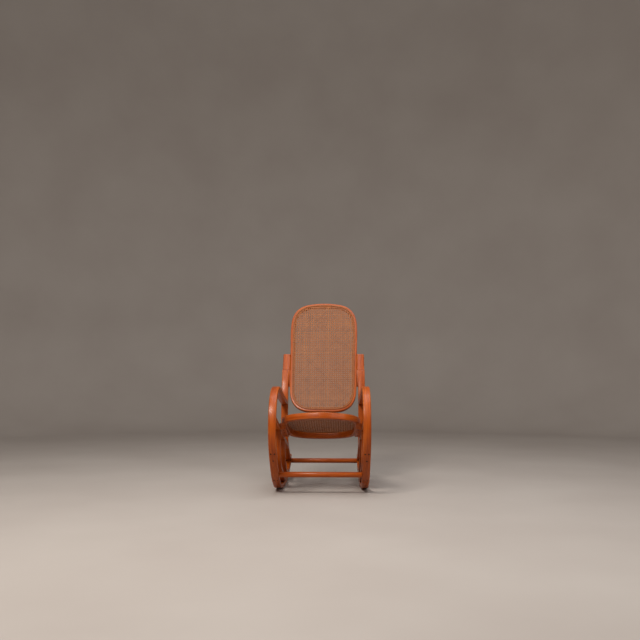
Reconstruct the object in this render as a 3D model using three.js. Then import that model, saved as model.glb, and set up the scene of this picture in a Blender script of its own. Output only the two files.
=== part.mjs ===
// Bentwood rocking chair with woven cane seat and back. Millimetres, +Z up, the chair faces -Y.
// Both side frames are drawn once, as curves in the (y, z) plane, and swept into flat strips.
import * as THREE from 'three';

// ---------------------------------------------------------------- overall sizes
const WIDTH = 503;             // over the outer faces of the side frames, at the front
const DEPTH = 950;             // front of the arm hoops to the rear of the headrest edge
const HEIGHT = 1050;           // floor to the top of the back
// sizes the curves below are drawn at
const DRAWN = { depth: 950, height: 1050, front: -372, seatHalfWidth: 202, seatDepth: 500 };

// ---------------------------------------------------------------- stock and clearances
const GAP = 0.3;               // clearance between touching pieces
const STRIP_WIDTH = 39;        // side-frame strips, across the chair
const STRIP_THICK = 22;        // side-frame strips, through the bend
const EDGE = 5.5;              // rounding of the strip edges
const TOE = 0.018;             // how much each side frame closes in per millimetre of depth
const STEP = 31;               // spacing of the stations along a long bend
const REST_FLAT = 60;          // length of the runner's lowest facet, on which the chair stands still
const FINE_STEP = 26;          // spacing along the stiles and struts
const FEATHER = 2.5;           // thin end of a scarf joint

// ---------------------------------------------------------------- runner and stretchers
const RUNNER_RADIUS = 1000;
const REST_Y = 90;             // middle of the facet each runner stands on, below the centre of mass
const RUNNER_START = -60;      // where the front sweep meets the runner arc
const TAIL_Y = 525;            // rear end of the runner
const SCARF_TOP_Z = 238;       // upper end of the joint between arm hoop and runner
const SCARF_BOTTOM_Z = 50;     // lower end of that joint
const STRETCHER_DIAMETER = 28;
const FRONT_STRETCHER_Z = 96;
const REAR_STRETCHER_Y = 482;
const REAR_STRETCHER_DROP = 3;       // its middle sits this far below the joint of stile and runner

// ---------------------------------------------------------------- seat
const SEAT_FRONT = [-295, 419];    // top edge of the seat ring at its middle front
const SEAT_SLOPE = 16;             // degrees down towards the back
const SEAT_DEPTH = 500;
const SEAT_SET_IN = 49.5;          // its front corners from the outer faces of the side frames
const SEAT_HALF_WIDTH = WIDTH / 2 - SEAT_SET_IN;
const SEAT_RING = { across: 26, high: 31 };
const RAIL_SPANS = 6;              // straight spans each seat rail is drawn in
const CLEAT = { wide: 29, thick: 20, start: 105, long: 240, slant: 45 };
const FRONT_STRUT_Y = -145;
const REAR_STRUT_Y = 88;

// ---------------------------------------------------------------- back
const BACK_FOOT_Z = 405;           // bottom of the back ring
const BACK_ANCHOR = [373, 700];    // point of its front face between the stiles
const BACK_LEAN = 28;              // degrees from upright
const BACK_HALF_WIDTH = 198;       // at its widest, near the top
const BACK_TAPER = 0.019;          // narrowing of each side per millimetre down
const BACK_RING = { across: 26, deep: 22 };
const LUG_Z = 645;                 // where the stile hands over to the lug that holds the back
const LUG_TOP_Z = 735;
const LUG_SET_IN = 2;              // step between the stile and the lug on the outside

// ---------------------------------------------------------------- cane and fixings
const CANE_THICK = 1.6;
const CANE_OVERLAP = 13;           // how far the cane reaches over its ring
const BINDER = { wide: 6, high: 1.8, edge: 0.8 };
const SCREW = { radius: 4, high: 1.4 };
const SCREW_PITCH = 9;             // half the distance between paired screws

const wood = new THREE.MeshStandardMaterial({ color: 0xb9521d, roughness: 0.28, metalness: 0 });
const cane = new THREE.MeshStandardMaterial({ color: 0x9b6340, roughness: 0.6, metalness: 0 });
const steel = new THREE.MeshStandardMaterial({ color: 0x3a2114, roughness: 0.45, metalness: 0.6 });

const group = new THREE.Group();
const radians = (degrees) => degrees * Math.PI / 180;
const at = (y, z) => [y * DEPTH / DRAWN.depth, z * HEIGHT / DRAWN.height];

// ---------------------------------------------------------------- curve helpers, all in (y, z)
const curve = (points) => new THREE.CatmullRomCurve3(
  points.map(([y, z]) => new THREE.Vector3(0, y, z)), false, 'centripetal');

// Evenly spaced stations along a curve.
function stations(points, step = STEP) {
  const line = curve(points);
  line.arcLengthDivisions = 1200;
  const count = Math.max(2, Math.round(line.getLength() / step));
  return line.getSpacedPoints(count).map((p) => [p.y, p.z]);
}

// Unit normal on the left of the direction of travel, which is the inner side of every strip.
function leftNormal(line, i) {
  const [a, b] = [line[Math.max(0, i - 1)], line[Math.min(line.length - 1, i + 1)]];
  const length = Math.hypot(b[0] - a[0], b[1] - a[1]);
  return [-(b[1] - a[1]) / length, (b[0] - a[0]) / length];
}

const offset = (line, distance) => line.map((p, i) => {
  const n = leftNormal(line, i);
  const d = typeof distance === 'function' ? distance(p, i) : distance;
  return [p[0] + n[0] * d, p[1] + n[1] * d];
});

const mix = (p, q, t) => [p[0] + (q[0] - p[0]) * t, p[1] + (q[1] - p[1]) * t];

// Nearest crossing of segment pq with a line of points, as a fraction of pq.
function crossing(p, q, line) {
  let nearest = null;
  for (let i = 0; i + 1 < line.length; i++) {
    const [a, b] = [line[i], line[i + 1]];
    const [rx, rz, sx, sz] = [q[0] - p[0], q[1] - p[1], b[0] - a[0], b[1] - a[1]];
    const det = rx * sz - rz * sx;
    const t = ((a[0] - p[0]) * sz - (a[1] - p[1]) * sx) / det;
    const u = ((a[0] - p[0]) * rz - (a[1] - p[1]) * rx) / det;
    if (t >= 0 && t <= 1 && u >= 0 && u <= 1 && (nearest === null || t < nearest)) nearest = t;
  }
  return nearest;
}

function reach(p, q, line) {
  const t = crossing(p, q, line);
  if (t === null) throw new Error('a piece does not reach the one it should meet');
  return mix(p, q, t);
}

// The straight facet of a line that segment pq meets, carried on both ways so a strip can be cut by it.
function facetMet(p, q, line) {
  const hit = reach(p, q, line);
  const distance = (from, to) => Math.hypot(to[0] - from[0], to[1] - from[1]);
  const off = ([a, b]) => distance(hit, a) + distance(hit, b) - distance(a, b);
  const facets = line.slice(1).map((end, i) => [line[i], end]);
  const [a, b] = facets.reduce((best, facet) => (off(facet) < off(best) ? facet : best));
  return [mix(a, b, -6), mix(a, b, 7)];
}

// Starts a strip where each of its two sides first crosses a line.
function trimStart(strip, line) {
  const cut = (side) => {
    const i = side.findIndex((p, k) => k + 1 < side.length && crossing(p, side[k + 1], line) !== null);
    if (i < 0) throw new Error('a strip does not reach the piece it should meet');
    return [i, reach(side[i], side[i + 1], line)];
  };
  const [[i, p], [j, q]] = [cut(strip.outer), cut(strip.inner)];
  const keep = Math.max(i, j) + 1;
  return { outer: [p, ...strip.outer.slice(keep)], inner: [q, ...strip.inner.slice(keep)],
    edges: strip.edges.slice(keep - 1) };
}

// Height at a given y of a line that runs towards +y; the last span is carried on past its end.
function heightAt(line, y) {
  let i = line.findIndex((p) => p[0] > y);
  if (i < 0) i = line.length - 1;
  const [a, b] = [line[Math.max(1, i) - 1], line[Math.max(1, i)]];
  return a[1] + (b[1] - a[1]) * (y - a[0]) / (b[0] - a[0]);
}

// ---------------------------------------------------------------- solid helpers
// Closed mesh through equal rings of points; the ends are capped unless the rings join up.
function skin(rings, closed = false) {
  const n = rings[0].length;
  const positions = rings.flat();
  const index = [];
  const spans = closed ? rings.length : rings.length - 1;
  for (let r = 0; r < spans; r++) {
    const [p, q] = [r * n, ((r + 1) % rings.length) * n];
    for (let k = 0; k < n; k++) {
      const m = (k + 1) % n;
      index.push(p + k, p + m, q + m, p + k, q + m, q + k);
    }
  }
  if (!closed) {
    const last = (rings.length - 1) * n;
    for (let k = 1; k + 1 < n; k++) index.push(0, k + 1, k, last, last + k, last + k + 1);
  }
  return meshFrom(positions, index);
}

function meshFrom(positions, index) {
  let volume = 0;
  for (let i = 0; i < index.length; i += 3) {
    const [a, b, c] = [0, 1, 2].map((k) => new THREE.Vector3(...positions[index[i + k]]));
    volume += a.dot(b.cross(c));
  }
  if (volume < 0) index.reverse();
  const geometry = new THREE.BufferGeometry();
  geometry.setAttribute('position', new THREE.Float32BufferAttribute(positions.flat(), 3));
  geometry.setIndex(index);
  return geometry;
}

// Rounded rectangle as twelve points (s, v): s runs 0..1 through the thickness, v across.
// e0 and e1 are the roundings of the near and the far side.
function section(thick, v0, v1, [e0, e1] = [EDGE, EDGE]) {
  const corner = (e) => [Math.min(e, thick * 0.42) / thick, Math.min(e, (v1 - v0) * 0.42)];
  const [[s0, a], [s1, b]] = [corner(e0), corner(e1)];
  const k = 1 - Math.SQRT1_2;
  return [[0, v0 + a], [s0 * k, v0 + a * k], [s0, v0], [1 - s1, v0], [1 - s1 * k, v0 + b * k], [1, v0 + b],
    [1, v1 - b], [1 - s1 * k, v1 - b * k], [1 - s1, v1], [s0, v1], [s0 * k, v1 - a * k], [0, v1 - a]];
}

const centreX = (y) => WIDTH / 2 + TOE * DRAWN.front * DEPTH / DRAWN.depth - STRIP_WIDTH / 2 - TOE * y;
const innerFaceX = (y) => centreX(y) - STRIP_WIDTH / 2;

// Sweeps a strip of a side frame; v0 and v1 are its edges across, measured from the frame's middle.
function frameStrip(side, { outer, inner, edges }, v0 = -STRIP_WIDTH / 2, v1 = STRIP_WIDTH / 2) {
  const bound = (v, p) => (typeof v === 'function' ? v(p) : v);
  return skin(outer.map((p, i) => {
    const q = inner[i];
    const thick = Math.hypot(q[0] - p[0], q[1] - p[1]);
    return section(thick, bound(v0, p), bound(v1, p), edges[i]).map(([s, v]) => {
      const [y, z] = mix(p, q, s);
      return [side * (centreX(y) + v), y, z];
    });
  }));
}

const plainStrip = (outer, inner) => ({ outer, inner, edges: outer.map(() => [EDGE, EDGE]) });

// Splits a strip into two pieces joined by a long scarf between stations i0 and i1: the outer piece
// thins out towards i1 and the inner piece starts thin at i0.
function scarf(line, normals, i0, i1) {
  const [sharp, ledge] = [0.5, 2 * GAP];
  const along = (i, d) => {
    const span = Math.hypot(line[i + 1][0] - line[i][0], line[i + 1][1] - line[i][1]);
    return mix(line[i], line[i + 1], d / span);
  };
  const layer = (k) => THREE.MathUtils.lerp(STRIP_THICK - FEATHER - GAP, FEATHER, (k - i0) / (i1 - i0));
  const [upper, lower] = [[], []].map(() => ({ outer: [], inner: [], edges: [] }));
  const put = (piece, p, n, from, to, edges) => {
    piece.outer.push([p[0] + n[0] * from, p[1] + n[1] * from]);
    piece.inner.push([p[0] + n[0] * to, p[1] + n[1] * to]);
    piece.edges.push(edges);
  };
  for (let k = 0; k <= i0; k++) put(upper, line[k], normals[k], 0, STRIP_THICK, [EDGE, EDGE]);
  put(upper, along(i0, ledge), normals[i0], 0, layer(i0), [EDGE, sharp]);
  put(lower, along(i0, ledge + GAP), normals[i0], layer(i0) + GAP, STRIP_THICK, [sharp, EDGE]);
  for (let k = i0 + 1; k <= i1; k++) {
    put(upper, line[k], normals[k], 0, layer(k), [EDGE, sharp]);
    put(lower, line[k], normals[k], layer(k) + GAP, STRIP_THICK, [sharp, EDGE]);
  }
  put(lower, along(i1, GAP), normals[i1], layer(i1) + GAP, STRIP_THICK, [sharp, EDGE]);
  put(lower, along(i1, GAP + ledge), normals[i1], 0, STRIP_THICK, [EDGE, EDGE]);
  for (let k = i1 + 1; k < line.length; k++) {
    put(lower, line[k], normals[k], 0, STRIP_THICK, [EDGE, EDGE]);
  }
  return [upper, lower];
}

function add(parent, name, geometry, material) {
  const mesh = new THREE.Mesh(geometry, material.clone());
  mesh.name = name;
  parent.add(mesh);
  return mesh;
}

// ---------------------------------------------------------------- side-frame curves
const runnerZ = (y) => RUNNER_RADIUS - Math.sqrt(RUNNER_RADIUS ** 2 - (y - at(REST_Y, 0)[0]) ** 2);
const [restY, tailY] = [REST_Y, TAIL_Y].map((y) => at(y, 0)[0]);
const runnerLine = Array.from({ length: 60 }, (_, k) => k - 29.5)
  .map((k) => restY + k * STEP + Math.sign(k) * (REST_FLAT - STEP) / 2)
  .filter((y) => y > at(RUNNER_START, 0)[0] && y < tailY - STEP / 2).concat(tailY)
  .map((y) => [y, runnerZ(y)]);
const hoopPoints = [[330, 454], [275, 464], [160, 484], [50, 505], [-80, 533], [-178, 546], [-252, 529],
  [-310, 490], [-345, 443], [-365, 392], [-372, 334], [-360, 262], [-331, 204], [-293, 155], [-243, 103],
  [-188, 62], [-135, 33], [-95, 17.5]].map((p) => at(...p));
const sweep = stations([...hoopPoints, ...runnerLine.slice(0, 3)])
  .filter((p) => p[0] < runnerLine[0][0] - STEP / 2 || p[1] > at(0, 300)[1]);
const hoopOuter = [...sweep, ...runnerLine];
const hoopInner = offset(hoopOuter, STRIP_THICK);
const lowest = hoopOuter.reduce((best, p, i) => (p[1] < hoopOuter[best][1] ? i : best), 0);
const runnerTop = (y) => heightAt(hoopInner.slice(lowest), y);

const lean = Math.tan(radians(BACK_LEAN));
const backFrontY = (z) => at(...BACK_ANCHOR)[0] + (z - at(...BACK_ANCHOR)[1]) * lean;
const stileUpper = [LUG_TOP_Z, 700, 650, 600].map((z) => [backFrontY(at(0, z)[1]), at(0, z)[1]]);
const stileLower = [[297, 550], [282, 500], [275, 450], [269, 395], [265, 340], [270, 283], [291, 228],
  [338, 181], [395, 145], [445, 120]].map((p) => at(...p));
const stilePoints = [...stileUpper, ...stileLower];

// Bent line that comes down through the points and ends lying along the runner.
function footed(points, lapFrom, lapTo) {
  const [from, to] = [at(lapFrom, 0)[0], at(lapTo, 0)[0]];
  const lap = offset(hoopOuter, STRIP_THICK + GAP).slice(lowest).filter((p) => p[0] > from && p[0] < to);
  const free = stations([...points, ...lap.slice(0, 3)], FINE_STEP)
    .filter((p) => p[0] < lap[0][0] - FINE_STEP / 2);
  return [...free, ...lap];
}
const stileFront = footed(stilePoints, 465, TAIL_Y);
const stileRear = offset(stileFront, STRIP_THICK);
const normalsOf = (line) => line.map((_, i) => leftNormal(line, i));
const nearestIndex = (line, z, from, to = line.length) => {
  let best = from;
  for (let i = from; i < to; i++) if (Math.abs(line[i][1] - z) < Math.abs(line[best][1] - z)) best = i;
  return best;
};

// ---------------------------------------------------------------- seat and back planes
const seatOrigin = at(...SEAT_FRONT);
const [seatCos, seatSin] = [Math.cos(radians(SEAT_SLOPE)), Math.sin(radians(SEAT_SLOPE))];
const seatPoint = (v, h) => [
  seatOrigin[0] + v * seatCos + h * seatSin,
  seatOrigin[1] - v * seatSin + h * seatCos];

const backFoot = [0, at(0, BACK_FOOT_Z)[1]];
backFoot[0] = backFrontY(backFoot[1]);
const [backCos, backSin] = [Math.cos(radians(BACK_LEAN)), Math.sin(radians(BACK_LEAN))];
const backLength = (HEIGHT - backFoot[1]) / backCos;

// Closed outline from its right half, spaced evenly.
function outline(half, step = 34) {
  const mirrored = half.slice(1, -1).reverse().map(([x, v]) => [-x, v]);
  const points = [...half, ...mirrored].map(([x, v]) => new THREE.Vector3(x, v, 0));
  const loop = new THREE.CatmullRomCurve3(points, true, 'centripetal');
  loop.arcLengthDivisions = 1200;
  const count = 2 * Math.round(loop.getLength() / step / 2);
  return loop.getSpacedPoints(count).slice(0, -1).map((p) => [p.x, p.y]);
}

// The same outline moved inwards.
const inset = (loop, distance) => loop.map((p, i) => {
  const [a, b] = [loop[(i + loop.length - 1) % loop.length], loop[(i + 1) % loop.length]];
  const length = Math.hypot(b[0] - a[0], b[1] - a[1]);
  return [p[0] - (b[1] - a[1]) / length * distance, p[1] + (b[0] - a[0]) / length * distance];
});

// Bent ring of rounded section between two distances in from its outline, from height h0 to h1.
function ring(loop, from, to, h0, h1, edge) {
  const [near, far] = [inset(loop, from), inset(loop, to)];
  return skin(near.map((p, i) => section(to - from, h0, h1, [edge, edge])
    .map(([s, h]) => [...mix(p, far[i], s), h])), true);
}

const plate = (loop, h0, h1) => skin([h0, h1].map((h) => loop.map((p) => [...p, h])));

const seatHalf = [[0, 0], [50, 6], [100, 23], [150, 47], [185, 84], [201, 140], [200, 220], [197, 310],
  [188, 385], [160, 445], [105, 484], [50, 497], [0, 500]]
  .map(([x, v]) => [x * SEAT_HALF_WIDTH / DRAWN.seatHalfWidth, v * SEAT_DEPTH / DRAWN.seatDepth]);
const seatLoop = outline(seatHalf);

const backSide = (w) => BACK_HALF_WIDTH - BACK_TAPER * Math.max(0, backLength - 190 - w);
const backHalf = [[0, 0], [70, 0.5], [108, 6], [140, 21], [168, 50], [185, 95], [backSide(165), 165],
  [backSide(280), 280],
  [backSide(420), 420], [BACK_HALF_WIDTH, backLength - 190], [0.967 * BACK_HALF_WIDTH, backLength - 112],
  [0.905 * BACK_HALF_WIDTH, backLength - 75], [0.8 * BACK_HALF_WIDTH, backLength - 44],
  [0.6 * BACK_HALF_WIDTH, backLength - 17], [0.3 * BACK_HALF_WIDTH, backLength - 3.5], [0, backLength]];
const backLoop = outline(backHalf);

// ---------------------------------------------------------------- side frames
const hoopNormals = normalsOf(hoopOuter);
const frontMost = hoopOuter.reduce((best, p, i) => (p[0] < hoopOuter[best][0] ? i : best), 0);
const onSweep = (line, z) => nearestIndex(line, at(0, z)[1], frontMost, lowest);
const [armFull, runnerStrip] = scarf(hoopOuter, hoopNormals,
  onSweep(hoopOuter, SCARF_TOP_Z), onSweep(hoopOuter, SCARF_BOTTOM_Z));
const armFacet = facetMet(armFull.outer[4], armFull.outer[0], offset(stileFront, -GAP));
const armHoop = trimStart(armFull, armFacet);

const stileUp = [...stileFront].reverse();
const lugStart = nearestIndex(stileUp, at(0, LUG_Z - 85)[1], Math.round(stileUp.length / 2));
const lugEnd = nearestIndex(stileUp, at(0, LUG_Z)[1], Math.round(stileUp.length / 2));
const [stileStrip, lugStrip] = scarf(stileUp, normalsOf(stileFront).reverse(), lugStart, lugEnd);

// Seat rail: a straight strip from the arm hoop to the stile, level with the underside of the seat ring.
const railTopH = -SEAT_RING.high - GAP;
const railMiddle = railTopH - STRIP_THICK / 2;
const railFacet = facetMet(
  seatPoint(150, railMiddle), seatPoint(1400, railMiddle), offset(stileFront, -GAP));
const railEnds = [railTopH - STRIP_THICK, railTopH].map((h) => [
  reach(seatPoint(150, h), seatPoint(-400, h), offset(hoopOuter, STRIP_THICK + GAP)),
  reach(seatPoint(150, h), seatPoint(1400, h), railFacet)]);
const railSpans = Array.from({ length: RAIL_SPANS + 1 }, (_, k) => k / RAIL_SPANS);
const railStrip = plainStrip(...railEnds.map(([a, b]) => railSpans.map((t) => mix(a, b, t))));

// Struts: bent strips from under the rail that sweep back and lie on the runner.
function strut(points, lapFrom, lapTo) {
  const line = footed(points.map((p) => at(...p)), lapFrom, lapTo);
  const under = [-300, 1400].map((v) => seatPoint(v, railTopH - STRIP_THICK - GAP));
  return trimStart(plainStrip(line, offset(line, STRIP_THICK)), under);
}
const frontStrut = strut([[FRONT_STRUT_Y, 360], [FRONT_STRUT_Y, 240], [FRONT_STRUT_Y + 8, 180],
  [FRONT_STRUT_Y + 36, 138], [FRONT_STRUT_Y + 88, 105], [FRONT_STRUT_Y + 150, 76],
  [FRONT_STRUT_Y + 210, 50]], 118, 205);
const rearStrut = strut([[REAR_STRUT_Y, 300], [REAR_STRUT_Y + 1, 225], [REAR_STRUT_Y + 9, 180],
  [REAR_STRUT_Y + 31, 146], [REAR_STRUT_Y + 62, 115], [REAR_STRUT_Y + 98, 84],
  [REAR_STRUT_Y + 138, 57]], 275, 350);

// Inner edge of the lug, along the side of the back ring.
const backEdge = backLoop.filter(([x, w]) => x > 0.6 * BACK_HALF_WIDTH && w > 0).map(([x, w]) => [w, x]);
const lugInner = ([y, z]) => {
  const w = (y - backFoot[0]) * backSin + (z - backFoot[1]) * backCos;
  return heightAt(backEdge, w) + GAP - centreX(y);
};

// Low domed screw head; its axis is turned to the outward direction of the face it stands on.
const headProfile = [[0, 0], [1, 0], [1, 0.4], [0.62, 1], [0, 1]]
  .map(([r, h]) => new THREE.Vector2(r * SCREW.radius, GAP + h * SCREW.high));
function addScrew(parent, name, centre, out) {
  const mesh = add(parent, name, new THREE.LatheGeometry(headProfile, 12), steel);
  mesh.position.set(...centre);
  mesh.quaternion.setFromUnitVectors(new THREE.Vector3(0, 1, 0), new THREE.Vector3(...out).normalize());
}

// Head on the outer face of the front sweep at a height, kept clear of the ends of its facet.
function hoopScrew(side, z, v) {
  const i = hoopOuter.findIndex((p, k) => k >= frontMost && p[1] < at(0, z)[1]) - 1;
  const [a, b] = [hoopOuter[i], hoopOuter[i + 1]];
  const foot = mix(a, b, THREE.MathUtils.clamp((a[1] - at(0, z)[1]) / (a[1] - b[1]), 0.2, 0.8));
  return [[side * (centreX(foot[0]) + v), ...foot], [0, b[1] - a[1], a[0] - b[0]]];
}

// Cleats, in the plane of the seat: battens under its sides, slanted off at the front.
const cleatH = -SEAT_RING.high - 2 * GAP;
function cleat(side) {
  return skin([0, 1].map((end) => section(CLEAT.thick, 0, CLEAT.wide, [2, 2]).map(([s, x]) => {
    const v = CLEAT.start + end * CLEAT.long + (1 - end) * CLEAT.slant * s;
    const h = cleatH - CLEAT.thick * s;
    return [side * (innerFaceX(seatPoint(v, h)[0]) - GAP - x), v, h];
  })));
}

function cleatScrew(side, along) {
  const [v, h] = [CLEAT.start + CLEAT.long * along, cleatH - CLEAT.thick];
  return [[side * (innerFaceX(seatPoint(v, h)[0]) - GAP - CLEAT.wide / 2), v, h], [0, 0, -1]];
}

function lugBolt(side, z) {
  const y = backFrontY(z) + STRIP_THICK / 2 / backCos;
  return [[side * (centreX(y) + STRIP_WIDTH / 2 - LUG_SET_IN), y, z], [side, TOE, 0]];
}

// Round rod between the inner faces of the two side frames.
function addStretcher(name, y, z) {
  const radius = STRETCHER_DIAMETER / 2;
  const length = 2 * (innerFaceX(y + radius) - GAP);
  const mesh = add(group, name, new THREE.CylinderGeometry(radius, radius, length, 24), wood);
  mesh.rotation.z = Math.PI / 2;
  mesh.position.set(0, y, z);
}

// ---------------------------------------------------------------- assembly
const seat = new THREE.Group();
seat.position.set(0, ...seatOrigin);
seat.rotation.x = -radians(SEAT_SLOPE);
const back = new THREE.Group();
back.position.set(0, ...backFoot);
back.rotation.x = radians(90 - BACK_LEAN);
group.add(seat, back);

for (const [suffix, side] of [['left', -1], ['right', 1]]) {
  const frame = new THREE.Group();
  group.add(frame);
  const strips = { arm_hoop: armHoop, runner: runnerStrip, stile: stileStrip, seat_rail: railStrip,
    front_strut: frontStrut, rear_strut: rearStrut };
  for (const [name, strip] of Object.entries(strips)) {
    add(frame, `${name}_${suffix}`, frameStrip(side, strip), wood);
  }
  const lug = frameStrip(side, lugStrip, lugInner, STRIP_WIDTH / 2 - LUG_SET_IN);
  add(frame, `back_lug_${suffix}`, lug, wood);
  add(seat, `seat_cleat_${suffix}`, cleat(side), wood);
  [[214, -SCREW_PITCH], [214, SCREW_PITCH], [178, 0], [67, -SCREW_PITCH], [67, SCREW_PITCH]]
    .forEach(([z, v], i) => addScrew(frame, `scarf_screw_${suffix}_${i + 1}`, ...hoopScrew(side, z, v)));
  [0.3, 0.55, 0.86].forEach((along, i) => addScrew(seat, `cleat_screw_${suffix}_${i + 1}`,
    ...cleatScrew(side, along)));
  [672, 712].forEach((z, i) => addScrew(frame, `lug_bolt_${suffix}_${i + 1}`,
    ...lugBolt(side, at(0, z)[1])));
}

const frontCentre = offset(hoopOuter, STRIP_THICK / 2);
addStretcher('front_stretcher', ...frontCentre[onSweep(frontCentre, FRONT_STRETCHER_Z)]);
const rearY = at(REAR_STRETCHER_Y, 0)[0];
addStretcher('rear_stretcher', rearY, runnerTop(rearY) - REAR_STRETCHER_DROP);

// A seat or back: the bent ring, the woven cane on its face and the binder over the edge of the cane.
function addPanel(parent, name, loop, across, deep) {
  const edge = across - CANE_OVERLAP;
  const binderH = 2 * GAP + CANE_THICK;
  add(parent, `${name}_ring`, ring(loop, 0, across, -deep, 0, EDGE * 0.8), wood);
  add(parent, `${name}_cane`, plate(inset(loop, edge), GAP, GAP + CANE_THICK), cane);
  const binder = ring(loop, edge, edge + BINDER.wide, binderH, binderH + BINDER.high, BINDER.edge);
  add(parent, `${name}_binder`, binder, cane);
}
addPanel(seat, 'seat', seatLoop, SEAT_RING.across, SEAT_RING.high);
addPanel(back, 'back', backLoop, BACK_RING.across, BACK_RING.deep);

// Stand the chair on the floor with the middle of its box at the origin.
const box = new THREE.Box3().setFromObject(group, true);
group.position.set(0, -(box.min.y + box.max.y) / 2, -box.min.z);

export default group;
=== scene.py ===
"""Bentwood rocking chair with a woven cane seat and back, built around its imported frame.

Metres, +Z up, and the chair faces -Y. The frame says where every piece is: the bent strips are
read from it section by section and made smooth, and the cane is woven on its two flat panels.
"""

import math

import bmesh
import bpy
import numpy as np
from mathutils import Matrix, Vector


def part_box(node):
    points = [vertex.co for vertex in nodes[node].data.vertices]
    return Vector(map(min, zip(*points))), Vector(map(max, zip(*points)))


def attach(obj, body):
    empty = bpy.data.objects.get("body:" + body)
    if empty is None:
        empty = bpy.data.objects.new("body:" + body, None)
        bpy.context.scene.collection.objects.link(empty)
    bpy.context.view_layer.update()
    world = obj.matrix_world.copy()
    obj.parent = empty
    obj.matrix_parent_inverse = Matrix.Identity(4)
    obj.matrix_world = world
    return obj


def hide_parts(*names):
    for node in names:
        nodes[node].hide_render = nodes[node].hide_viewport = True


MM = 0.001
SIDES = ("left", "right")
CHANCE = np.random.default_rng(11)

# ---------------------------------------------------------------- camera and studio
CAMERA_AT = (0.115, -4.100, 0.553)
CAMERA_TURN = math.radians(1.78)  # to the left of straight ahead
LENS, SENSOR = 42.08 * MM, 36 * MM
HORIZON_DROP = 0.1016  # of the picture's width, below its middle
FLOOR_RADIUS, COVE_RADIUS, WALL_HEIGHT = 4.8, 1.4, 8.0
COVE_SIDES = 128

# ---------------------------------------------------------------- bent and turned wood
WELD = 0.005 * MM
CORNERS = 12  # points round a CAD strip's section, three to each rounded corner
LEDGE = 2 * MM  # a step shorter than this is a sharp end of a scarf joint, and stays sharp
SPACING = 7 * MM  # between the sections of a smooth strip
ARC_STEPS = 5  # faces round each rounded edge
EASED = 0.9 * MM  # how far sawn ends are rounded over
ROD_SIDES = 56
CREASE, HEAD_CREASE = math.radians(50), math.radians(35)  # sharper edges than these stay sharp

# ---------------------------------------------------------------- cane
PITCH = 12.7 * MM  # of the six-way weave, from hole to hole
PAIR_SPREAD = 0.146 * PITCH  # each strand of a pair is this far from the pair's middle
STRAND = {"width": 2.3 * MM, "thick": 0.65 * MM, "wave": 0.30 * MM, "steps": 6}
DIAGONAL = {"width": 2.5 * MM, "thick": 0.65 * MM, "wave": 0.74 * MM, "steps": 8}
CANE_THICK = 1.6 * MM
BINDER_WIDTH, BINDER_TOP = 6 * MM, 2.1 * MM  # its top, above the top of the cane
LOOP_WIDTH = 2.4 * MM
RIBBON = [(-0.5, -0.35), (-0.32, 0.5), (0.32, 0.5), (0.5, -0.35)]  # split cane, in widths and thicknesses

# ---------------------------------------------------------------- screw heads
HEAD_RADIUS, HEAD_HEIGHT = 4 * MM, 1.4 * MM
SLOT_WIDTH, SLOT_DEPTH = 1.1 * MM, 0.9 * MM
HEAD_SIDES = 40

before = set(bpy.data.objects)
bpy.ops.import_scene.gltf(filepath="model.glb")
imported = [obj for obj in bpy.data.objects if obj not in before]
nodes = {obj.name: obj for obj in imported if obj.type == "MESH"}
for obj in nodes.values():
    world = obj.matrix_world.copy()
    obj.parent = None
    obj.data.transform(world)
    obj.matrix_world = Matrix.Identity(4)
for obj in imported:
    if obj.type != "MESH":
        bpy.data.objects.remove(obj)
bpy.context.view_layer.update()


# ================================================================ materials
def linear(colour):
    """An sRGB hex colour as linear RGBA."""
    channels = [int(colour[i : i + 2], 16) / 255 for i in (1, 3, 5)]
    return [c / 12.92 if c <= 0.04045 else ((c + 0.055) / 1.055) ** 2.4 for c in channels] + [1.0]


def put(tree, kind, settings=(), stops=(), **inputs):
    """Adds a node. Settings are its own properties; inputs are values, or sockets to link; stops are
    the (position, hex colour) pairs of a colour ramp."""
    made = tree.nodes.new(kind)
    for name, value in dict(settings).items():
        setattr(made, name, value)
    for _ in stops[2:]:
        made.color_ramp.elements.new(0.5)
    for place, (position, colour) in enumerate(stops):
        made.color_ramp.elements[place].position = position
        made.color_ramp.elements[place].color = linear(colour)
    for name, value in inputs.items():
        socket = made.inputs[int(name[1:]) if name[0] == "_" else name.replace("_", " ")]
        if isinstance(value, bpy.types.NodeSocket):
            tree.links.new(value, socket)
        else:
            socket.default_value = value
    return made


def blank(name):
    """A new material's tree, emptied, and the material."""
    material = bpy.data.materials.new(name)
    material.use_nodes = True
    material.node_tree.nodes.clear()
    return material, material.node_tree


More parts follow.
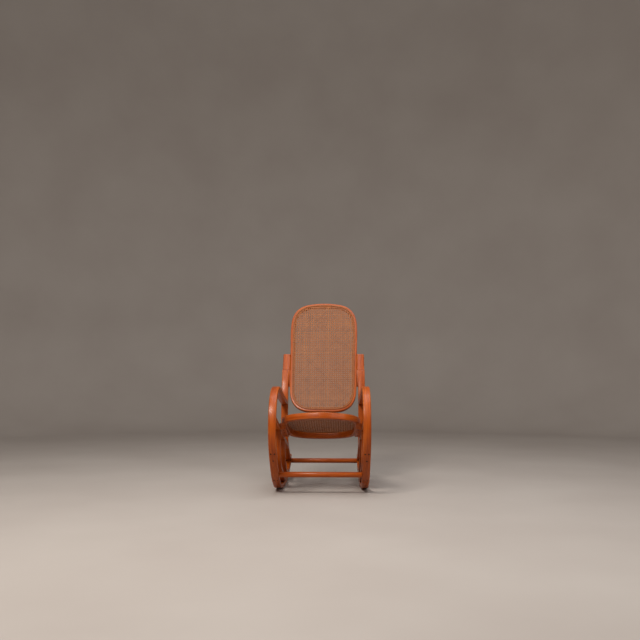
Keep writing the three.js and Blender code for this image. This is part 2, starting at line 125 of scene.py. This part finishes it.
def varnished_beech():
    """Steam-bent beech under a honey-red stain and gloss varnish: fine streaks along the bend,
    short dark flecks, a slow change of tone, and the crests of the rounded edges painted paler in patches,
    a painted highlight of light caught on the edges as well as rubbed wear."""
    material, tree = blank("varnished_beech")
    place = put(tree, "ShaderNodeAttribute", {"attribute_name": "grain"}).outputs["Vector"]
    edge = put(tree, "ShaderNodeAttribute", {"attribute_name": "edge"}).outputs["Fac"]

    def streaks(length, width, detail):
        scaled = put(tree, "ShaderNodeMapping", _0=place, Scale=(1 / length, 1 / width, 1 / width))
        return put(tree, "ShaderNodeTexNoise", _0=scaled.outputs[0], Scale=1.0, Detail=detail,
                   Roughness=0.6).outputs["Fac"]

    fine = streaks(90 * MM, 2.2 * MM, 3.0)
    broad = streaks(260 * MM, 16 * MM, 2.0)
    # Beech flecks are about 0.3 mm wide; they are drawn four times as wide so that they show.
    flecks = streaks(9 * MM, 1.2 * MM, 1.0)
    base = put(tree, "ShaderNodeValToRGB", stops=((0.30, "#87370a"), (0.52, "#a74c0c"), (0.74, "#bd6012")),
               _0=fine).outputs["Color"]
    slow = put(tree, "ShaderNodeValToRGB", stops=((0.32, "#bfa08a"), (0.68, "#ffffff")),
               _0=broad).outputs["Color"]
    toned = put(tree, "ShaderNodeMix", {"data_type": "RGBA", "blend_type": "MULTIPLY"},
                _0=0.55, _6=base, _7=slow).outputs[2]
    fleck_mask = put(tree, "ShaderNodeMapRange", _0=flecks, _1=0.64, _2=0.72, _3=0.0, _4=0.45).outputs[0]
    flecked = put(tree, "ShaderNodeMix", {"data_type": "RGBA"}, _0=fleck_mask, _6=toned,
                  _7=linear("#5e2109")).outputs[2]
    # Painted highlight: the crests of the rounded edges are painted paler in patches, for light caught on
    # them and for rubbed wear.
    edge_sheen_rub_noise = streaks(45 * MM, 20 * MM, 4.0)
    edge_sheen_rub_mask = put(tree, "ShaderNodeMapRange", _0=edge_sheen_rub_noise, _1=0.42, _2=0.66, _3=0.0, _4=0.5).outputs[0]
    edge_sheen_and_wear = put(tree, "ShaderNodeMath", {"operation": "MULTIPLY"}, _0=edge_sheen_rub_mask, _1=edge).outputs[0]
    colour = put(tree, "ShaderNodeMix", {"data_type": "RGBA"}, _0=edge_sheen_and_wear, _6=flecked,
                 _7=linear("#cf7a36")).outputs[2]
    rough = put(tree, "ShaderNodeMapRange", _0=broad, _1=0.3, _2=0.7, _3=0.32, _4=0.46).outputs[0]
    bump = put(tree, "ShaderNodeBump", Strength=0.12, Distance=0.15 * MM, Height=fine)
    skin_of = put(tree, "ShaderNodeBsdfPrincipled", Base_Color=colour, Roughness=rough,
                  Normal=bump.outputs[0])
    skin_of.inputs["IOR"].default_value = 1.5
    skin_of.inputs["Specular IOR Level"].default_value = 0.2
    skin_of.inputs["Coat Weight"].default_value = 0.12
    skin_of.inputs["Coat Roughness"].default_value = 0.12
    put(tree, "ShaderNodeOutputMaterial", Surface=skin_of.outputs[0])
    return material


def split_rattan(name, pale, mid, dark):
    """Skin of rattan split into strands and woven: glossy, streaked along each strand, every
    strand a slightly different tone, with a darker ring here and there where a leaf grew."""
    material, tree = blank(name)
    place = put(tree, "ShaderNodeAttribute", {"attribute_name": "grain"}).outputs["Vector"]
    tone = put(tree, "ShaderNodeAttribute", {"attribute_name": "tone"}).outputs["Fac"]
    along = put(tree, "ShaderNodeMapping", _0=place, Scale=(1 / (40 * MM), 1 / (0.7 * MM), 1 / (0.7 * MM)))
    fibres = put(tree, "ShaderNodeTexNoise", _0=along.outputs[0], Scale=1.0, Detail=2.0).outputs["Fac"]
    mixed = put(tree, "ShaderNodeMix", {"data_type": "FLOAT"}, _0=0.55, _2=fibres, _3=tone).outputs[0]
    base = put(tree, "ShaderNodeValToRGB", stops=((0.22, dark), (0.5, mid), (0.8, pale)),
               _0=mixed).outputs["Color"]
    joints = put(tree, "ShaderNodeMapping", _0=place, Scale=(1 / (26 * MM), 1 / (90 * MM), 1 / (90 * MM)))
    rings = put(tree, "ShaderNodeTexNoise", _0=joints.outputs[0], Scale=1.0, Detail=0.0).outputs["Fac"]
    ringed = put(tree, "ShaderNodeMapRange", _0=rings, _1=0.70, _2=0.76, _3=0.0, _4=0.6).outputs[0]
    colour = put(tree, "ShaderNodeMix", {"data_type": "RGBA"}, _0=ringed, _6=base,
                 _7=linear(dark)).outputs[2]
    rough = put(tree, "ShaderNodeMapRange", _0=fibres, _1=0.3, _2=0.7, _3=0.36, _4=0.52).outputs[0]
    bump = put(tree, "ShaderNodeBump", Strength=0.15, Distance=0.1 * MM, Height=fibres)
    skin_of = put(tree, "ShaderNodeBsdfPrincipled", Base_Color=colour, Roughness=rough,
                  Normal=bump.outputs[0])
    skin_of.inputs["IOR"].default_value = 1.5
    skin_of.inputs["Specular IOR Level"].default_value = 0.25
    put(tree, "ShaderNodeOutputMaterial", Surface=skin_of.outputs[0])
    return material


def browned_steel():
    """Turned steel screw, browned by age: dark, half dull, with paler scuffs."""
    material, tree = blank("browned_steel")
    place = put(tree, "ShaderNodeTexCoord").outputs["Object"]
    patches = put(tree, "ShaderNodeTexNoise", _0=place, Scale=1 / (1.5 * MM), Detail=4.0).outputs["Fac"]
    colour = put(tree, "ShaderNodeValToRGB", stops=((0.35, "#2b1a12"), (0.6, "#4d3325"), (0.75, "#8a6f5c")),
                 _0=patches).outputs["Color"]
    rough = put(tree, "ShaderNodeMapRange", _0=patches, _3=0.35, _4=0.6).outputs[0]
    metal = put(tree, "ShaderNodeBsdfPrincipled", Base_Color=colour, Metallic=1.0, Roughness=rough)
    put(tree, "ShaderNodeOutputMaterial", Surface=metal.outputs[0])
    return material


def studio_floor():
    """Plain pale matt floor that runs up into a wall of the same finish."""
    material, tree = blank("studio_floor")
    place = put(tree, "ShaderNodeTexCoord").outputs["Object"]
    mottle = put(tree, "ShaderNodeTexNoise", _0=place, Scale=1.3, Detail=5.0).outputs["Fac"]
    colour = put(tree, "ShaderNodeValToRGB", stops=((0.3, "#a59d98"), (0.7, "#aca5a0")),
                 _0=mottle).outputs["Color"]
    paint = put(tree, "ShaderNodeBsdfPrincipled", Base_Color=colour, Roughness=0.62)
    put(tree, "ShaderNodeOutputMaterial", Surface=paint.outputs[0])
    return material


# ================================================================ mesh helpers
def piece(name, points, faces, material, slot, stands_for, values=None):
    """A smooth-shaded piece of the chair from points and faces, with its per-point values."""
    mesh = bpy.data.meshes.new(name)
    mesh.from_pydata(points.tolist(), [], faces)
    for label, kind, field, data in values or []:
        numbers = np.ascontiguousarray(data, np.float32).ravel()
        mesh.attributes.new(label, kind, "POINT").data.foreach_set(field, numbers)
    mesh.materials.append(material)
    shaped = bmesh.new()
    shaped.from_mesh(mesh)
    bmesh.ops.recalc_face_normals(shaped, faces=shaped.faces)
    shaped.to_mesh(mesh)
    shaped.free()
    mesh.shade_smooth()
    mesh.set_sharp_from_angle(angle=CREASE)
    made = bpy.data.objects.new(name, mesh)
    bpy.context.scene.collection.objects.link(made)
    return placed(made, slot, *stands_for)


def placed(made, slot, *stands_for):
    """Fixes a piece to the chair's one body, in place of its plain solids."""
    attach(made, "root")
    if stands_for:
        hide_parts(*stands_for)
    return made


def skin(shape, closed, first=0):
    """Faces that join equal rings of points, capped at both ends unless they close on themselves.
    shape is how many rings there are and how many points go round each."""
    count, around = shape
    faces = []
    for i in range(count if closed else count - 1):
        a, b = first + i * around, first + (i + 1) % count * around
        faces += [(a + k, a + (k + 1) % around, b + (k + 1) % around, b + k) for k in range(around)]
    if not closed:
        last = first + (count - 1) * around
        faces += [tuple(range(first + around - 1, first - 1, -1)), tuple(range(last, last + around))]
    return faces


def lengths_along(centres):
    """Distance of each centre from the first, measured along the line."""
    return np.concatenate([[0], np.cumsum(np.linalg.norm(np.diff(centres, axis=0), axis=1))])


def fair(rings, closed, spacing=SPACING):
    """More rings, on smooth curves through the given ones. Steps shorter than LEDGE stay sharp."""
    count = len(rings)
    spans = count if closed else count - 1
    centres = rings.mean(1)
    length = [np.linalg.norm(centres[(i + 1) % count] - centres[i]) for i in range(spans)]
    slope = [(rings[(i + 1) % count] - rings[i]) / length[i] for i in range(spans)]

    def tangent(i):
        before, after = (i - 1) % count, i % count
        near = [s for s in (before, after) if s < spans and (closed or 0 <= s) and length[s] > LEDGE]
        if not closed:
            near = [s for s in near if s in (i - 1, i)]
        if len(near) == 1:
            return slope[near[0]]
        weighted = slope[before] * length[after] + slope[after] * length[before]
        return weighted / (length[before] + length[after])

    made = []
    for i in range(spans):
        steps = math.ceil(length[i] / spacing) if length[i] > LEDGE else 1
        if steps == 1:
            made.append(rings[i])
            continue
        start, end = tangent(i) * length[i], tangent(i + 1 if not closed else (i + 1) % count) * length[i]
        for t in np.arange(steps) / steps:
            made.append((2 * t**3 - 3 * t**2 + 1) * rings[i] + (t**3 - 2 * t**2 + t) * start
                        + (3 * t**2 - 2 * t**3) * rings[(i + 1) % count] + (t**3 - t**2) * end)
    if not closed:
        made.append(rings[-1])
    return np.array(made)


# ================================================================ bent and turned wood
def welded(name):
    """A CAD node's mesh with its shared corners joined."""
    made = bmesh.new()
    made.from_mesh(nodes[name].data)
    bmesh.ops.remove_doubles(made, verts=made.verts, dist=WELD)
    return made


def flattened(name):
    """The same, with each flat side as one face."""
    made = welded(name)
    bmesh.ops.dissolve_limit(made, angle_limit=0.002, verts=made.verts, edges=made.edges)
    return made


def first_section(name, solid):
    """Corners of a strip's sawn end, or of a closed hoop's section at the front in the middle."""
    at = {v.co.to_tuple(6): v for v in solid.verts}
    flat = flattened(name)
    ends = [f for f in flat.faces if len(f.verts) == CORNERS]
    if ends:
        return [at[v.co.to_tuple(6)] for v in ends[0].verts], False
    middle = [v for v in solid.verts if abs(v.co.x) < WELD]
    split = sum(v.co.y for v in middle) / len(middle)
    front = [v for v in middle if v.co.y < split]
    centre = sum((v.co for v in front), Vector()) / len(front)
    return sorted(front, key=lambda v: math.atan2(v.co.z - centre.z, v.co.y - centre.y)), True


def sections(name):
    """The rings of twelve corners that a bent strip was swept through, and whether it is closed."""
    solid = welded(name)
    ring, closed = first_section(name, solid)
    found, seen = [ring], set(ring)
    while True:
        ahead = [{e.other_vert(v) for e in v.link_edges} - seen for v in ring]
        if closed and len(found) == 1:
            ahead = [{w for w in near if w.co.x > 0} for near in ahead]
        choices = []
        for turn in (-1, 1):
            shared = [near & ahead[(k + turn) % len(ring)] for k, near in enumerate(ahead)]
            if all(shared):
                choices.append([min(s, key=lambda w: (w.co - v.co).length) for s, v in zip(shared, ring)])
        if not choices:
            break
        ring = min(choices, key=lambda c: sum((w.co - v.co).length for w, v in zip(c, ring)))
        found.append(ring)
        seen.update(ring)
    return np.array([[v.co[:] for v in r] for r in found]), closed


def corners_first(rings):
    """The rings, turned so that each starts with the three points of a rounded corner. The stoutest
    ring shows where the corners are: in the thin end of a scarf joint they are drawn out."""
    spokes = rings - rings.mean(1)[:, None]
    area = np.linalg.norm(np.cross(spokes, np.roll(spokes, -1, 1)).sum(1) / 2, axis=1)
    points = rings[area.argmax()]
    into, out = points - np.roll(points, 1, 0), np.roll(points, -1, 0) - points
    bend = 1 - (into * out).sum(1) / np.linalg.norm(into, axis=1) / np.linalg.norm(out, axis=1)
    middle = max(range(3), key=lambda k: bend[k::3].sum())
    return np.roll(rings, 1 - middle, 1)


def rounded(rings):
    """Every corner of three points drawn out to a smooth arc. Also gives how near each is to its crest."""
    columns, crest = [], []
    for k in range(0, CORNERS, 3):
        a, middle, b = rings[:, k], rings[:, k + 1], rings[:, k + 2]
        pull = 2 * middle - (a + b) / 2
        for t in np.linspace(0, 1, ARC_STEPS + 1):
            columns.append((1 - t) ** 2 * a + 2 * t * (1 - t) * pull + t * t * b)
            crest.append(math.sin(math.pi * t))
    return np.stack(columns, 1), crest


def eased(rings):
    """Sawn ends with their edges rounded over."""
    def end(last, before):
        centre, length = last.mean(0), np.linalg.norm(last.mean(0) - before.mean(0))
        reach = np.linalg.norm(last - centre, axis=1).mean()
        back = last + (before - last) * min(1, EASED / length) * 0.9
        return [back, centre + (last - centre) * (1 - EASED / reach)]

    return np.array([*end(rings[0], rings[1])[::-1], *rings[1:-1], *end(rings[-1], rings[-2])])


def grain_of(rings):
    """Along, across and through the wood, in metres, for each point, starting anywhere in the board."""
    centres = rings.mean(1)
    along = np.repeat(lengths_along(centres)[:, None], rings.shape[1], 1)
    local = rings - centres[:, None]
    quarter = rings.shape[1] // 4
    sides = []
    for k in (0, quarter):
        way = local[:, k : k + quarter].mean(1) + local[:, k - quarter : k or None].mean(1)
        way /= np.linalg.norm(way, axis=1)[:, None]
        sides.append((local * way[:, None]).sum(2))
    start = CHANCE.uniform(0, 9, 3)
    return np.stack([along, *sides], 2) + start


def bent_strip(name, material, slot):
    """A CAD strip or hoop as a smooth bent piece with truly round edges."""
    rings, closed = sections(name)
    rings, crest = rounded(fair(corners_first(rings), closed))
    if not closed:
        rings = eased(rings)
    count, around = rings.shape[:2]
    values = [("grain", "FLOAT_VECTOR", "vector", grain_of(rings)),
              ("edge", "FLOAT", "value", np.tile(crest, count)),
              ("tone", "FLOAT", "value", np.full(count * around, 0.5))]
    return piece(f"{name}_smooth", rings.reshape(-1, 3), skin((count, around), closed), material, slot,
                 [name], values)


def turned_rod(name, material):
    """A stretcher: a round rod turned on a lathe, its ends eased."""
    low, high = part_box(name)
    middle, radius = (low + high) / 2, (high.z - low.z) / 2
    profile = [(low.x, radius - EASED), (low.x + EASED, radius),
               (high.x - EASED, radius), (high.x, radius - EASED)]
    angles = np.arange(ROD_SIDES) * math.tau / ROD_SIDES
    rings = np.array([[(x, middle.y + r * math.cos(a), middle.z + r * math.sin(a)) for a in angles]
                      for x, r in profile])
    values = [("grain", "FLOAT_VECTOR", "vector", rings + CHANCE.uniform(0, 9, 3)),
              ("edge", "FLOAT", "value", np.zeros(rings.shape[:2]))]
    return piece(f"{name}_turned", rings.reshape(-1, 3), skin(rings.shape[:2], False), material,
                 "bent_wood", [name], values)


# ================================================================ woven cane
class Panel:
    """The flat top of a cane panel: its origin, its axes and its smooth outline in them."""

    def __init__(self, name, towards):
        solid = flattened(name)
        top = max(solid.faces, key=lambda f: f.calc_area() * f.normal.dot(towards))
        self.up = np.array(top.normal)
        self.origin = np.array(top.calc_center_median())
        self.origin[0] = 0
        self.across = np.array((1.0, 0.0, 0.0))
        self.along = np.cross(self.up, self.across)
        corners = np.array([v.co[:] for v in top.verts]) - self.origin
        flat = np.stack([corners @ self.across, corners @ self.along], 1)
        edge = fair(flat[:, None], True, 4 * MM)[:, 0]
        ahead = np.roll(edge, -1, 0) - np.roll(edge, 1, 0)
        inward = np.stack([-ahead[:, 1], ahead[:, 0]], 1) / np.linalg.norm(ahead, axis=1)[:, None]
        inward *= -np.sign((inward * edge).sum())
        self.edge = edge + inward * BINDER_WIDTH / 2  # where the strands end, below the binder

    def place(self, flat, height):
        """Points of the chair from points on the panel and their heights above it."""
        return (self.origin + np.outer(flat[:, 0], self.across) + np.outer(flat[:, 1], self.along)
                + np.outer(height, self.up))

    def turn(self, way):
        """A direction of the chair from one on the panel."""
        return way[0] * self.across + way[1] * self.along

    def cut(self, start, way):
        """How far along a line the outline is crossed, first and last, or None."""
        a, b = self.edge, np.roll(self.edge, -1, 0)
        side = np.array([-way[1], way[0]])
        da, db = (a - start) @ side, (b - start) @ side
        hit = (da > 0) != (db > 0)
        if not hit.any():
            return None
        share = (da / np.where(hit, da - db, 1))[:, None]
        reach = ((a + (b - a) * share - start) @ way)[hit]
        return reach.min(), reach.max()


def ribbon(points, side, size):
    """Rings of a split strand of cane that follows points, flat across the given side."""
    ahead = np.gradient(points, axis=0)
    rise = np.cross(side, ahead)
    rise /= np.linalg.norm(rise, axis=1)[:, None]
    return np.stack([points + side * s * size["width"] + rise * t * size["thick"] for s, t in RIBBON], 1)


def cane_piece(name, strands, material, stands_for):
    """Many strands as one piece. Each strand has its own tone and its own place in the grain."""
    points, faces, grain, tone, first = [], [], [], [], 0
    for rings in strands:
        count, around = rings.shape[:2]
        faces += skin((count, around), False, first)
        first += count * around
        points.append(rings.reshape(-1, 3))
        along = np.repeat(lengths_along(rings.mean(1)), around)
        width = np.tile([s * LOOP_WIDTH for s, _ in RIBBON], count)
        grain.append(np.stack([along, width, np.zeros_like(along)], 1) + CHANCE.uniform(0, 9, 3))
        tone.append(np.full(count * around, np.clip(CHANCE.normal(0.5, 0.17), 0, 1)))
    values = [("grain", "FLOAT_VECTOR", "vector", np.concatenate(grain)),
              ("tone", "FLOAT", "value", np.concatenate(tone))]
    return piece(name, np.concatenate(points), faces, material, "woven_cane", [stands_for], values)


def woven_strands(panel, way, gap, shifts, size, wave):
    """Parallel strands across a panel. shifts are the places in each gap that hold a strand, and
    wave gives a strand's height, from -1 to 1, at points on the panel."""
    way = np.array(way) / np.linalg.norm(way)
    side = np.array([-way[1], way[0]])
    extent = np.linalg.norm(np.abs(panel.edge).max(0))
    step = PITCH / size["steps"] / max(abs(way))
    middle = -CANE_THICK / 2
    strands = []
    for k in range(-math.ceil(extent / gap), math.ceil(extent / gap) + 1):
        for shift in shifts:
            start = side * (k * gap + shift)
            reach = panel.cut(start, way)
            if reach is None or reach[1] - reach[0] < PITCH / 2:
                continue
            inner = np.arange(math.ceil(reach[0] / step), math.floor(reach[1] / step) + 1) * step
            travel = np.concatenate([[reach[0]], inner, [reach[1]]])
            flat = start + np.outer(travel, way)
            height = middle + wave(flat, shift) * size["wave"]
            height[[0, -1]] = middle
            strands.append(ribbon(panel.place(flat, height), panel.turn(side), size))
    return strands


def weave(name, panel, material):
    """Six-way cane: pairs up and across in a plain weave, and a strand each way on the diagonal,
    over one set of pairs and under the other, which leaves eight-sided holes."""
    beat = 4 * math.pi / PITCH
    slow = math.tau / PITCH
    pair = (-PAIR_SPREAD, PAIR_SPREAD)
    diagonal_gap = PITCH / math.sqrt(2)
    sets = {
        "uprights": ((0, 1), PITCH, pair, STRAND, lambda p, s: np.sign(s) * np.sin(beat * p[:, 1])),
        "crosswise": ((1, 0), PITCH, pair, STRAND, lambda p, s: np.sign(s) * np.sin(beat * p[:, 0])),
        "rising": ((1, 1), diagonal_gap, [diagonal_gap / 2], DIAGONAL,
                   lambda p, s: np.cos(slow * p[:, 0])),
        "falling": ((1, -1), diagonal_gap, [diagonal_gap / 2], DIAGONAL,
                    lambda p, s: -np.cos(slow * p[:, 0])),
    }
    for label, facts in sets.items():
        cane_piece(f"{name}_cane_{label}", woven_strands(panel, *facts), material, f"{name}_cane")


def binder_loops(name, panel, material):
    """Short loops of cane that tie the binder down, one to each drilled hole in the hoop."""
    edge = np.concatenate([panel.edge, panel.edge[:1]])
    travel = lengths_along(edge)
    count = round(travel[-1] / PITCH)
    at = (np.arange(count) + 0.5) / count * travel[-1]
    spots = np.stack([np.interp(at, travel, edge[:, i]) for i in (0, 1)], 1)
    ahead = np.stack([np.interp(at + MM, travel, edge[:, i]) for i in (0, 1)], 1) - spots
    ahead /= np.linalg.norm(ahead, axis=1)[:, None]
    half, top = BINDER_WIDTH / 2, BINDER_TOP + STRAND["thick"] * 0.6
    arch = np.array([(-half - 1.6 * MM, -CANE_THICK), (-half - 1.0 * MM, top * 0.45),
                     (-half + 0.5 * MM, top), (0, top + 0.3 * MM),
                     (half - 0.5 * MM, top), (half + 1.0 * MM, top * 0.45),
                     (half + 1.6 * MM, -CANE_THICK)])
    size = {"width": LOOP_WIDTH, "thick": STRAND["thick"]}
    loops = []
    for spot, forward in zip(spots, ahead):
        outward = np.array([-forward[1], forward[0]])
        flat = spot + np.outer(arch[:, 0], outward)
        loops.append(ribbon(panel.place(flat, arch[:, 1]), panel.turn(forward), size))
    return cane_piece(f"{name}_binder_loops", loops, material, f"{name}_binder")


# ================================================================ screw heads
def slotted_head():
    """Mesh of a domed, slotted screw head, standing on the origin along +Z."""
    profile = [(0.62, 0), (1, 0.06), (1, 0.34), (0.94, 0.52),
               (0.8, 0.74), (0.58, 0.9), (0.3, 0.98), (0.04, 1)]
    angles = np.arange(HEAD_SIDES) * math.tau / HEAD_SIDES
    rings = np.array([[(r * HEAD_RADIUS * math.cos(a), r * HEAD_RADIUS * math.sin(a), h * HEAD_HEIGHT)
                       for a in angles] for r, h in profile])
    mesh = bpy.data.meshes.new("slotted_head")
    mesh.from_pydata(rings.reshape(-1, 3).tolist(), [], skin(rings.shape[:2], False))
    head = bpy.data.objects.new("slotted_head", mesh)
    block = bmesh.new()
    size = Matrix.Diagonal((3 * HEAD_RADIUS, SLOT_WIDTH, 2 * SLOT_DEPTH, 1))
    bmesh.ops.create_cube(block, size=1, matrix=Matrix.Translation((0, 0, HEAD_HEIGHT)) @ size)
    cutter_mesh = bpy.data.meshes.new("slot_cutter")
    block.to_mesh(cutter_mesh)
    cutter = bpy.data.objects.new("slot_cutter", cutter_mesh)
    for made in (head, cutter):
        bpy.context.scene.collection.objects.link(made)
    slot = head.modifiers.new("slot", "BOOLEAN")
    slot.object, slot.operation = cutter, "DIFFERENCE"
    bpy.context.view_layer.update()
    cut = bpy.data.meshes.new_from_object(head.evaluated_get(bpy.context.evaluated_depsgraph_get()))
    cut.shade_smooth()
    cut.set_sharp_from_angle(angle=HEAD_CREASE)
    for made in (head, cutter):
        bpy.data.objects.remove(made)
    return cut


def add_head(name, mesh, material):
    """A screw head where a plain one stands, turned to any angle as a screw ends up."""
    solid = welded(name)
    corners = np.array([v.co[:] for v in solid.verts])
    centre = corners.mean(0)
    out = np.linalg.svd(corners - centre)[2][2]
    height = (corners - centre) @ out
    if abs(height.max()) < abs(height.min()):
        out, height = -out, -height
    foot = centre + out * height.min()
    made = bpy.data.objects.new(f"{name}_head", mesh)
    bpy.context.scene.collection.objects.link(made)
    aim = Vector(out).to_track_quat("Z", "Y").to_matrix().to_4x4()
    made.matrix_world = Matrix.Translation(foot) @ aim @ Matrix.Rotation(CHANCE.uniform(0, math.pi), 4, "Z")
    if not mesh.materials:
        mesh.materials.append(material)
    return placed(made, "screw_steel", name)


# ================================================================ studio
def add_camera():
    """Level camera in front of the chair, a little above the seat."""
    lens = bpy.data.cameras.new("camera")
    lens.lens, lens.sensor_width = LENS / MM, SENSOR / MM
    lens.shift_y = HORIZON_DROP
    camera = bpy.data.objects.new("camera", lens)
    camera.location = CAMERA_AT
    camera.rotation_euler = (math.pi / 2, 0, CAMERA_TURN)
    bpy.context.scene.collection.objects.link(camera)
    bpy.context.scene.camera = camera


def add_cove(material):
    """Round studio floor that curves up into a wall, the same from every side."""
    bend = [(FLOOR_RADIUS + COVE_RADIUS * math.sin(a), COVE_RADIUS * (1 - math.cos(a)))
            for a in np.linspace(0, math.pi / 2, 17)]
    profile = [(0.02, 0), (FLOOR_RADIUS / 2, 0), *bend, (FLOOR_RADIUS + COVE_RADIUS, WALL_HEIGHT)]
    angles = np.arange(COVE_SIDES) * math.tau / COVE_SIDES
    points = [(r * math.cos(a), r * math.sin(a), z) for r, z in profile for a in angles]
    faces = skin((len(profile), len(angles)), False)[:-1]
    mesh = bpy.data.meshes.new("studio_cove")
    mesh.from_pydata(points, [], faces)
    mesh.materials.append(material)
    mesh.shade_smooth()
    cove = bpy.data.objects.new("studio_cove", mesh)
    bpy.context.scene.collection.objects.link(cove)


def add_softbox(name, at, towards, size, watts, colour="#ffffff"):
    """Square area light aimed at a point."""
    light = bpy.data.lights.new(name, "AREA")
    light.size, light.energy, light.color = size, watts, linear(colour)[:3]
    lamp = bpy.data.objects.new(name, light)
    lamp.location = at
    lamp.rotation_euler = (Vector(towards) - Vector(at)).to_track_quat("-Z", "Y").to_euler()
    bpy.context.scene.collection.objects.link(lamp)


def add_light():
    """Soft studio light: a large box high in front on the left, a weaker one on the right, and an
    even pale surround."""
    seat = (0, 0, 0.5)
    add_softbox("key_softbox", (-1.2, -2.9, 3.3), seat, 1.2, 150, "#fff8ee")
    add_softbox("fill_softbox", (2.4, -2.6, 2.4), seat, 1.8, 28)
    add_softbox("top_softbox", (0.2, -0.4, 3.6), (0, 0, 0), 2.0, 50)
    world = bpy.data.worlds.new("surround")
    world.use_nodes = True
    world.node_tree.nodes["Background"].inputs["Color"].default_value = linear("#e9e2da")
    world.node_tree.nodes["Background"].inputs["Strength"].default_value = 0.52
    bpy.context.scene.world = world
    bpy.context.scene.view_settings.view_transform = "Standard"


# ================================================================ the chair
beech = varnished_beech()
rattan = split_rattan("split_rattan", "#a9672c", "#8a4d1d", "#5c2f0f")
steel = browned_steel()

add_camera()

for side in SIDES:
    for part in ("arm_hoop", "runner", "stile", "back_lug", "seat_rail", "front_strut", "rear_strut",
                 "seat_cleat"):
        bent_strip(f"{part}_{side}", beech, "bent_wood")
for rod in ("front_stretcher", "rear_stretcher"):
    turned_rod(rod, beech)

for name, towards in (("seat", Vector((0, 0, 1))), ("back", Vector((0, -1, 0)))):
    bent_strip(f"{name}_ring", beech, "bent_wood")
    bent_strip(f"{name}_binder", rattan, "woven_cane")
    panel = Panel(f"{name}_cane", towards)
    weave(name, panel, rattan)
    binder_loops(name, panel, rattan)

head_mesh = slotted_head()
for name in sorted(nodes):
    if "_screw_" in name or "_bolt_" in name:
        add_head(name, head_mesh, steel)

add_cove(studio_floor())
add_light()
